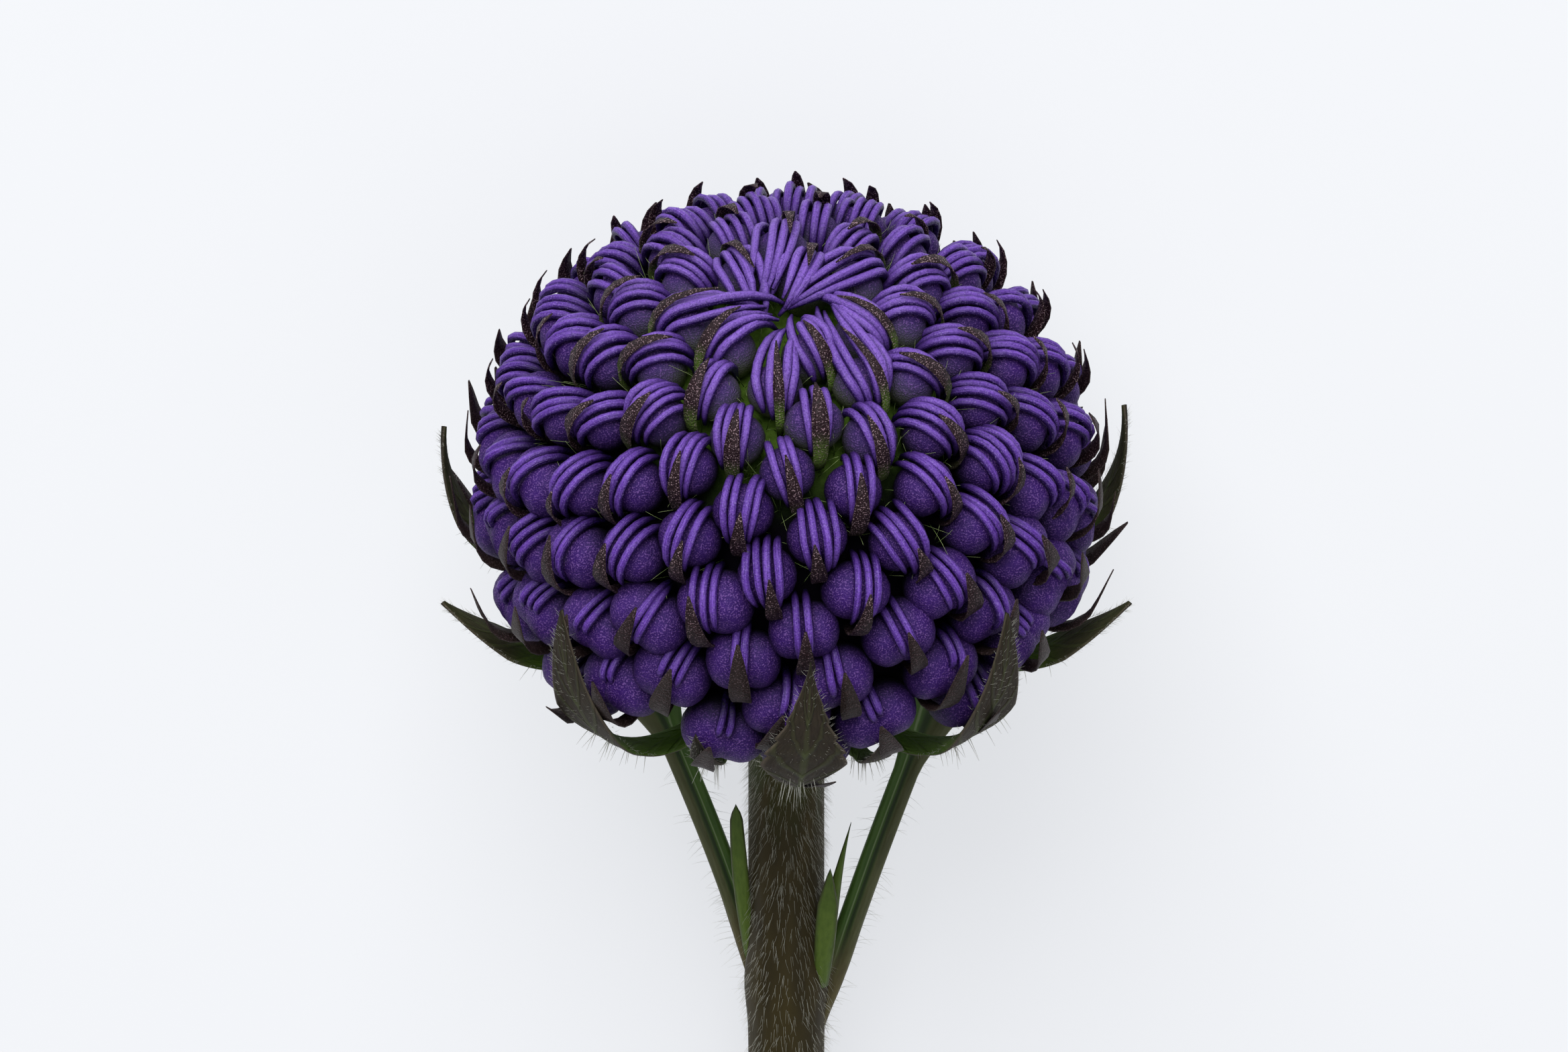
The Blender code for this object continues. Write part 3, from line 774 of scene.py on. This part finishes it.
BRACT_INSIDE = ((0.045, 0.095, 0.007), (0.12, 0.22, 0.018))


def bezier(points, share):
    """A point of the cubic curve with these four control points."""
    rest = 1.0 - share
    weights = (rest ** 3, 3 * share * rest ** 2, 3 * share ** 2 * rest, share ** 3)
    return sum((Vector(point) * weight for point, weight in zip(points, weights)),
               Vector((0.0,) * len(points[0])))


def bract_lines(line, turn, tip_turn):
    """The middle line of a bract and its sideways direction, both in the head's frame."""
    def bract_turn(share):
        return math.radians(turn + tip_turn * share ** 1.5)

    def path(share):
        out, up = bezier(line, share)
        return Vector((out * math.sin(bract_turn(share)), -out * math.cos(bract_turn(share)), up))

    def side(share):
        return Vector((math.cos(bract_turn(share)), math.sin(bract_turn(share)), 0.0))

    return path, side


def bract_outline(share, half, toothed):
    """Half width of a bract: a narrow root, the widest place past the bend, and a long point."""
    blade = TOOTHED_BLADE if toothed else PLAIN_BLADE
    root, neck = blade["root"], blade["neck"]
    if share < BLADE_FROM:
        return root + (half * neck - root) * (share / BLADE_FROM) ** 2
    if share < WIDEST_AT:
        widened = (share - BLADE_FROM) / BLADE_WIDENING
        return half * (neck + (0.90 * widened if toothed else 0.38 * math.sin(widened * math.pi / 2)))
    point = (share - WIDEST_AT) / POINT_LENGTH
    width = half * max(0.02, (1.0 - point) ** blade["taper"])
    if toothed:
        tooth = (1.0 - (point * TEETH) % 1.0) * (1.0 - point) * min(1.0, 4.0 * point)
        width *= 1.0 + TOOTH_DEPTH * tooth
    return width


def cupped(depth, rib):
    """A cross-section that is hollow inside, with a midrib standing out of its back."""
    def section(share, x, y, wide, thick):
        thick += -depth * wide * wide * (1.0 if share > 0.2 else share / 0.2)
        thick -= rib * math.exp(-(x / MIDRIB_WIDTH) ** 2) * (1.0 - share) * (1.0 if y < 0 else 0.2)
        return wide, thick
    return section


def bract_thick(share):
    return BRACT_HALF_THICKNESS * (1.0 - 0.6 * share)


def short_thick(share):
    return SHORT_HALF_THICKNESS * (1.0 - 0.5 * share)


bract_rod = make_rod("bract_rod", 16, 36)
front_rod = make_rod("front_rod", 16, 100)
short_rod = make_rod("short_rod", 12, 20)
bract_bm = new_bmesh()
bract_edges = []
for number, (turn, tip_turn, line, half) in enumerate(LONG_BRACTS, start=1):
    front = number == 1
    path, side = bract_lines(line, turn, tip_turn)
    width = partial(bract_outline, half=half, toothed=front)
    grow(bract_bm, front_rod if front else bract_rod, path, side, width, bract_thick,
         chance.random(), cupped(0.05 if front else 0.12, 0.10))
    bract_edges.append((path, side, width))
for turn in SHORT_BRACTS:
    path, side = bract_lines(SHORT, turn, 0)
    width = partial(bract_outline, half=SHORT_HALF_WIDTH, toothed=False)
    grow(bract_bm, short_rod, path, side, width, short_thick, chance.random(), cupped(0.1, 0.06))
    bract_edges.append((path, side, width))
bmesh.ops.transform(bract_bm, matrix=HEAD, verts=bract_bm.verts)
keep_above(bract_bm, 0.0)

bract_finish = Finish("bract_olive", Roughness=0.75, Specular_IOR_Level=0.2)
share = bract_finish.place("place", "X")
across = bract_finish.place("place", "Y")
outside = bract_finish.step(bract_finish.place("place", "Z"), -0.1, 0.1)
tipward = bract_finish.step(share + (bract_finish.grains(0.8) - 0.5) * 0.3, 0.62, 0.86)
down = bract_finish.streaks(30.0, 9.0)
olive = bract_finish.mix(down, *BRACT_OLIVE)
purple = bract_finish.mix(down, *BRACT_PURPLE)
back = bract_finish.mix(bract_finish.grains(0.5), olive, purple)
rib = 1 - bract_finish.step(abs(across), 0.03, 0.14)
veins = bract_finish.step((share * 60.0 - abs(across) * 9.0).sine(), 0.45, 1.0)
back = bract_finish.mix((rib * 0.6 + veins * 0.4) * (1 - tipward * 0.5), back, BRACT_VEIN)
edge = bract_finish.step(abs(across), 0.86, 1.0)
back = bract_finish.mix(edge * 0.5, back, BRACT_EDGE)
inner = bract_finish.mix(bract_finish.streaks(6.0, 2.5), *BRACT_INSIDE)
inner = bract_finish.mix(bract_finish.step(share, 0.56, 0.74) * 0.9, inner, back)
bract_finish.paint(bract_finish.mix(outside, inner, back))
bract_finish.bump(veins * 0.7 + down * 0.8, 0.10)
bract_nodes = [f"bract_{number}" for number in range(1, len(LONG_BRACTS) + 1)]
bract_nodes += [f"inner_bract_{number}" for number in range(1, len(SHORT_BRACTS) + 1)]
add_piece("bracts", bract_bm, [bract_finish], bract_nodes)


# The stem: a round, juicy stalk under a coat of white hairs, green just under the head and brown
# further down, swollen a little where the two leaves join it. Its lower end is cut straight.
STEM_RADIUS = 1.43
STEM_END_RADIUS = 1.5
STEM_START = -CORE_END + 0.1
STEM_BEND = -12.1
STEM_END = Vector((0.0, -28.68, 1.52))
NODE_Y = -4.68
NODE_SWELL = 0.16
NODE_LENGTH = 1.3
STEM_RIBS = 8.0
STEM_RIB_HEIGHT = 0.012
STEM_YOUNG = ((0.014, 0.028, 0.001), (0.062, 0.088, 0.004))
STEM_OLD = ((0.010, 0.007, 0.002), (0.060, 0.044, 0.010))

head_place = Matrix.Translation(HEAD_CENTRE) @ HEAD_LEAN
stem_top = head_place @ Vector((0.0, 0.0, STEM_START))
stem_bend = head_place @ Vector((0.0, 0.0, STEM_BEND))


def to_the_right(share):
    return Vector((1.0, 0.0, 0.0))


def stem_path(share):
    rest = 1.0 - share
    return stem_top * rest ** 2 + stem_bend * (2 * share * rest) + STEM_END * share ** 2


def stem_radius(share):
    swell = NODE_SWELL * math.exp(-((stem_path(share).y - NODE_Y) / NODE_LENGTH) ** 2)
    return STEM_RADIUS + (STEM_END_RADIUS - STEM_RADIUS) * share + swell


def stem_section(share, x, y, wide, thick):
    ribbed = 1.0 + STEM_RIB_HEIGHT * math.cos(math.atan2(y, x) * STEM_RIBS + 0.6)
    return wide * ribbed, thick * ribbed


stem_rod = make_rod("stem_rod", 40, 80)
stem_bm = new_bmesh()
grow(stem_bm, stem_rod, stem_path, to_the_right, stem_radius, stem_radius, 0.4, stem_section)
bmesh.ops.transform(stem_bm, matrix=METRES, verts=stem_bm.verts)

stem_finish = Finish("stem_olive", Roughness=0.65, Specular_IOR_Level=0.25)
share = stem_finish.place("place", "X")
streak = stem_finish.streaks(14.0, 2.2)
browning = stem_finish.step(share + (streak - 0.5) * 0.25, 0.20, 0.42)
young = stem_finish.mix(streak, *STEM_YOUNG)
old = stem_finish.mix(streak, *STEM_OLD)
stem_finish.paint(stem_finish.mix(browning, young, old))
stem_finish.bump(streak, 0.06)
add_piece("stem_skin", stem_bm, [stem_finish], ["stem"])


# The two opposite leaves. Each has a channelled green stalk, mauve-brown where it clasps the stem,
# and a lance-shaped blade that ends under the head, out of the camera's sight.
LEAF_LINES = {
    "leaf_left": (((-0.35, -7.4, 4.1), (-0.8, -5.0, 4.3)),
                  ((-1.6, -2.6, 4.5), (-2.4, 0.6, 5.0), (-5.4, 8.4, 5.5), (-9.8, 15.82, 0.55))),
    "leaf_right": (((0.35, -9.0, 4.0), (0.9, -6.6, 4.2)),
                   ((1.85, -4.3, 4.4), (2.95, -0.6, 4.9), (5.7, 7.8, 5.6), (10.0, 15.82, 0.55))),
}
LEAF_CURVE_PARTS = 6
STALK_HALF_WIDTH = 0.5
STALK_SHARE = 0.62
SHEATH_SHARE = 0.25
LEAF_HALF_WIDTH = 1.7
LEAF_TIP_HALF_WIDTH = 0.06
LEAF_WIDEST_AT = 0.45
STALK_HALF_THICKNESS = 0.42
LEAF_THINNING = 0.24
LEAF_MIDRIB = 0.22
STALK_GREEN = ((0.020, 0.058, 0.008), (0.072, 0.145, 0.020))
STALK_DOWN = ((0.050, 0.060, 0.022), (0.135, 0.140, 0.065))
STALK_CHANNEL = (0.008, 0.020, 0.002)
STALK_RIDGE = (0.22, 0.28, 0.15)
SHEATH_MAUVE = ((0.050, 0.036, 0.018), (0.17, 0.15, 0.062))


def through(points):
    """A smooth path through these points, evenly shared among them."""
    def path(share):
        where = share * (len(points) - 1)
        index = min(int(where), len(points) - 2)
        t = where - index
        before = points[max(0, index - 1)]
        start, end = points[index], points[index + 1]
        after = points[min(len(points) - 1, index + 2)]
        return 0.5 * (2 * start + (end - before) * t
                      + (2 * before - 5 * start + 4 * end - after) * t * t
                      + (3 * start - before - 3 * end + after) * t ** 3)
    return path


def leaf_width(share):
    if share < STALK_SHARE:
        return STALK_HALF_WIDTH * (1.0 + 0.45 * max(0.0, 1.0 - share / SHEATH_SHARE))
    blade = (share - STALK_SHARE) / (1.0 - STALK_SHARE)
    if blade < LEAF_WIDEST_AT:
        widened = math.sin(blade / LEAF_WIDEST_AT * math.pi / 2) ** 1.5
        return STALK_HALF_WIDTH + (LEAF_HALF_WIDTH - STALK_HALF_WIDTH) * widened
    left = 1.0 - (blade - LEAF_WIDEST_AT) / (1.0 - LEAF_WIDEST_AT)
    return LEAF_TIP_HALF_WIDTH + (LEAF_HALF_WIDTH - LEAF_TIP_HALF_WIDTH) * max(0.0, left) ** 0.8


def leaf_thick(share):
    return STALK_HALF_THICKNESS - LEAF_THINNING * clamp((share - 0.4) / 0.3)


def leaf_section(share, x, y, wide, thick):
    thick += -abs(wide) * 0.25
    if y < 0:
        thick += LEAF_MIDRIB * math.exp(-(x / 0.45) ** 2)
    return wide, thick


leaf_rod = make_rod("leaf_rod", 16, 60)
leaf_paths = {}
for name, (roots, line) in LEAF_LINES.items():
    curve = [bezier(line, part / LEAF_CURVE_PARTS) for part in range(LEAF_CURVE_PARTS + 1)]
    leaf_paths[name] = through([Vector(root) for root in roots] + curve)
    leaf_bm = new_bmesh()
    grow(leaf_bm, leaf_rod, leaf_paths[name], to_the_right, leaf_width, leaf_thick, 0.2, leaf_section)
    bmesh.ops.transform(leaf_bm, matrix=METRES, verts=leaf_bm.verts)
    keep_above(leaf_bm, 0.0)

    leaf_finish = Finish(name + "_green", Roughness=0.55, Specular_IOR_Level=0.3)
    share = leaf_finish.place("place", "X")
    hand = -1.0 if name == "leaf_left" else 1.0
    outer = leaf_finish.place("place", "Y") * hand
    streak = leaf_finish.streaks(20.0, 2.0)
    green = leaf_finish.mix(streak, *STALK_GREEN)
    downy = leaf_finish.mix(streak, *STALK_DOWN)
    stalk = leaf_finish.mix(leaf_finish.step(outer, 0.0, 0.35), green, downy)
    channel = 1 - leaf_finish.step(abs(outer - 0.02), 0.04, 0.26)
    stalk = leaf_finish.mix(channel * 0.85, stalk, STALK_CHANNEL)
    ridge = 1 - leaf_finish.step(abs(outer + 0.30), 0.02, 0.09)
    stalk = leaf_finish.mix(ridge * 0.6, stalk, STALK_RIDGE)
    clasp = 1 - leaf_finish.step(share + (streak - 0.5) * 0.1, 0.20, 0.38)
    mauve = leaf_finish.mix(streak, *SHEATH_MAUVE)
    leaf_finish.paint(leaf_finish.mix(clasp, stalk, mauve))
    leaf_finish.bump(streak, 0.05)
    add_piece(name + "_skin", leaf_bm, [leaf_finish], [name])


# The small leaves in the angles between the stem and the stalks: a blunt one on the left, and a
# pointed one with a shorter one beside it on the right, fresh green with darker edges and tips.
AXIL_LINES = {
    "axil_leaf_left": ((-1.4, -3.8, 4.6), (-1.7, -0.8, 5.9), (-1.9, 1.2, 6.5), (-1.95, 3.3, 6.9)),
    "axil_leaf_right": ((1.4, -4.6, 4.9), (1.6, -1.8, 6.0), (1.95, 0.4, 6.7), (2.5, 2.6, 7.0)),
    "axil_leaf_right_small": ((1.35, -4.6, 5.3), (1.5, -2.4, 6.4), (1.6, -0.9, 7.0), (1.7, 0.8, 7.3)),
}
AXIL_SHAPES = {
    "axil_leaf_left": {"half": 0.32, "tip_share": 0.10, "tip_power": 0.5},
    "axil_leaf_right": {"half": 0.35, "tip_share": 0.75, "tip_power": 0.85},
    "axil_leaf_right_small": {"half": 0.42, "tip_share": 0.30, "tip_power": 0.6},
}
AXIL_GREEN = ((0.050, 0.095, 0.008), (0.13, 0.20, 0.030))
AXIL_EDGE = ((0.020, 0.045, 0.006), (0.045, 0.040, 0.020))


def axil_outline(share, half, tip_share, tip_power):
    pointed = max(0.04, min(1.0, (1 - share) / tip_share) ** tip_power)
    return half * (0.7 + 0.3 * math.sin(share * math.pi)) * pointed


def axil_thick(share):
    return 0.2 - 0.1 * share


axil_rod = make_rod("axil_rod", 12, 20)
for name, line in AXIL_LINES.items():
    axil_bm = new_bmesh()
    grow(axil_bm, axil_rod, partial(bezier, line), to_the_right,
         partial(axil_outline, **AXIL_SHAPES[name]), axil_thick, 0.7, cupped(0.3, 0.05))
    bmesh.ops.transform(axil_bm, matrix=METRES, verts=axil_bm.verts)

    axil_finish = Finish(name + "_green", Roughness=0.55, Specular_IOR_Level=0.3)
    share = axil_finish.place("place", "X")
    streak = axil_finish.streaks(14.0, 2.0)
    fresh = axil_finish.mix(streak, *AXIL_GREEN)
    edge = axil_finish.step(abs(axil_finish.place("place", "Y")), 0.55, 1.0)
    darkened = axil_finish.mix(edge, *AXIL_EDGE)
    darkening = edge * 0.6 + axil_finish.step(share, 0.5, 1.0) * 0.35
    axil_finish.paint(axil_finish.mix(darkening, fresh, darkened))
    axil_finish.bump(streak, 0.05)
    add_piece(name + "_skin", axil_bm, [axil_finish], [name])


# The hairs of the bracts: a fine pale fringe along their edges, a thin down on their backs, and
# stiff white bristles that hang from their bends, close to the stem. Each is a thin three-sided
# tapered rod.
FRINGE_RADIUS = 0.007
BRACT_BRISTLE_RADIUS = 0.018
FRINGE_HAIRS = 130
DOWN_HAIRS = 150
BRACT_BRISTLES = 18
SHORT_BRACT_SHARE = 0.35
HAIR_WHITE = ((0.42, 0.42, 0.33), (0.70, 0.70, 0.62))

bract_hair_bm = new_bmesh()
for order, (path, side, width) in enumerate(bract_edges):
    full = 1.0 if order < len(LONG_BRACTS) else SHORT_BRACT_SHARE
    for number in range(round(FRINGE_HAIRS * full)):
        share = 0.45 + 0.54 * chance.random()
        hand = chance.choice((-1, 1))
        ahead = heading(path, share)
        root = path(share) + side(share) * (hand * width(share) * 0.97)
        direction = side(share) * hand * chance.uniform(0.4, 1.0) + ahead * chance.uniform(0.1, 1.0)
        direction += ahead.cross(side(share)) * chance.uniform(-0.5, 0.5)
        add_hair(bract_hair_bm, root, direction.normalized(), chance.uniform(0.12, 0.34), ahead * 0.2,
                 FRINGE_RADIUS)
    for number in range(round(DOWN_HAIRS * full)):
        share = 0.5 + 0.48 * chance.random()
        across = chance.uniform(-0.95, 0.95)
        ahead = heading(path, share)
        out = side(share).cross(ahead)
        if out.dot(path(share)) < 0:
            out = -out
        root = path(share) + side(share) * (across * width(share)) + out * 0.12
        direction = (ahead + out * chance.uniform(0.3, 0.9)
                     + side(share) * (across * 0.5 + chance.uniform(-0.3, 0.3)))
        add_hair(bract_hair_bm, root, direction.normalized(), chance.uniform(0.15, 0.35), out * 0.1,
                 FRINGE_RADIUS)
    for number in range(BRACT_BRISTLES):
        share = chance.uniform(0.46, 0.66)
        across = chance.uniform(-0.9, 0.9)
        ahead = heading(path, share)
        down = side(share).cross(ahead)
        if down.z > 0:
            down = -down
        root = path(share) + side(share) * (across * width(share)) + down * 0.1
        direction = down + side(share) * (across * 0.4) + ahead * chance.uniform(-0.5, 0.3)
        add_hair(bract_hair_bm, root, direction.normalized(), chance.uniform(0.4, 0.95),
                 Vector((0, 0, -0.15)), BRACT_BRISTLE_RADIUS)
bmesh.ops.transform(bract_hair_bm, matrix=HEAD, verts=bract_hair_bm.verts)
keep_above(bract_hair_bm, ABOVE_TABLE)

hair_finish = Finish("hair_white", Roughness=0.4)
hair_finish.paint(hair_finish.mix(hair_finish.grains(3.0), *HAIR_WHITE))
add_piece("bract_hairs", bract_hair_bm, [hair_finish])


# The hairs of the stem and the stalks: a short silvery coat all over the stem, longer spreading
# hairs on it just under the head, and a few along the stalks.
HAIR_RADIUS = 0.0065
TOP_HAIR_RADIUS = 0.013
STEM_HAIRS = 6400
TOP_HAIRS = 380
STALK_HAIRS = 150
HAIR_CLEARANCE = 0.05

hair_bm = new_bmesh()
for number in range(STEM_HAIRS + TOP_HAIRS):
    top = number >= STEM_HAIRS
    share = 0.02 + 0.24 * chance.random() ** 1.5 if top else 0.02 + 0.98 * chance.random()
    turn = chance.uniform(0.0, 2 * math.pi)
    ahead = heading(stem_path, share)
    side = to_the_right(share)
    out = side * math.cos(turn) + ahead.cross(side) * math.sin(turn)
    root = stem_path(share) + out * (stem_radius(share) - 0.02)
    lean = ahead * chance.uniform(0.7, 1.3) + out.cross(ahead) * chance.uniform(-0.3, 0.3)
    stand = chance.uniform(0.7, 1.4) if top else chance.uniform(0.4, 1.3)
    direction = (out * stand + lean * (chance.uniform(-0.3, 0.9) if top else 1.0)).normalized()
    length = chance.uniform(0.5, 1.15) if top else chance.uniform(0.28, 0.58)
    if root.z + direction.z * length < HAIR_CLEARANCE:
        continue
    bend = ahead * chance.uniform(0.0, 0.3) + out.cross(ahead) * chance.uniform(-0.25, 0.25)
    add_hair(hair_bm, root, direction, length, bend, TOP_HAIR_RADIUS if top else HAIR_RADIUS)
for path in leaf_paths.values():
    for number in range(STALK_HAIRS):
        share = chance.uniform(0.06, 0.7)
        hand = chance.choice((-1, 1))
        ahead = heading(path, share)
        root = path(share) + Vector((hand * leaf_width(share) * 0.95, 0.0, 0.0))
        direction = Vector((hand, 0.0, chance.uniform(-0.4, 0.9))) + ahead * chance.uniform(-0.6, 0.4)
        add_hair(hair_bm, root, direction.normalized(), chance.uniform(0.3, 0.95), ahead * -0.2,
                 HAIR_RADIUS)
bmesh.ops.transform(hair_bm, matrix=METRES, verts=hair_bm.verts)
add_piece("stem_hairs", hair_bm, [hair_finish])
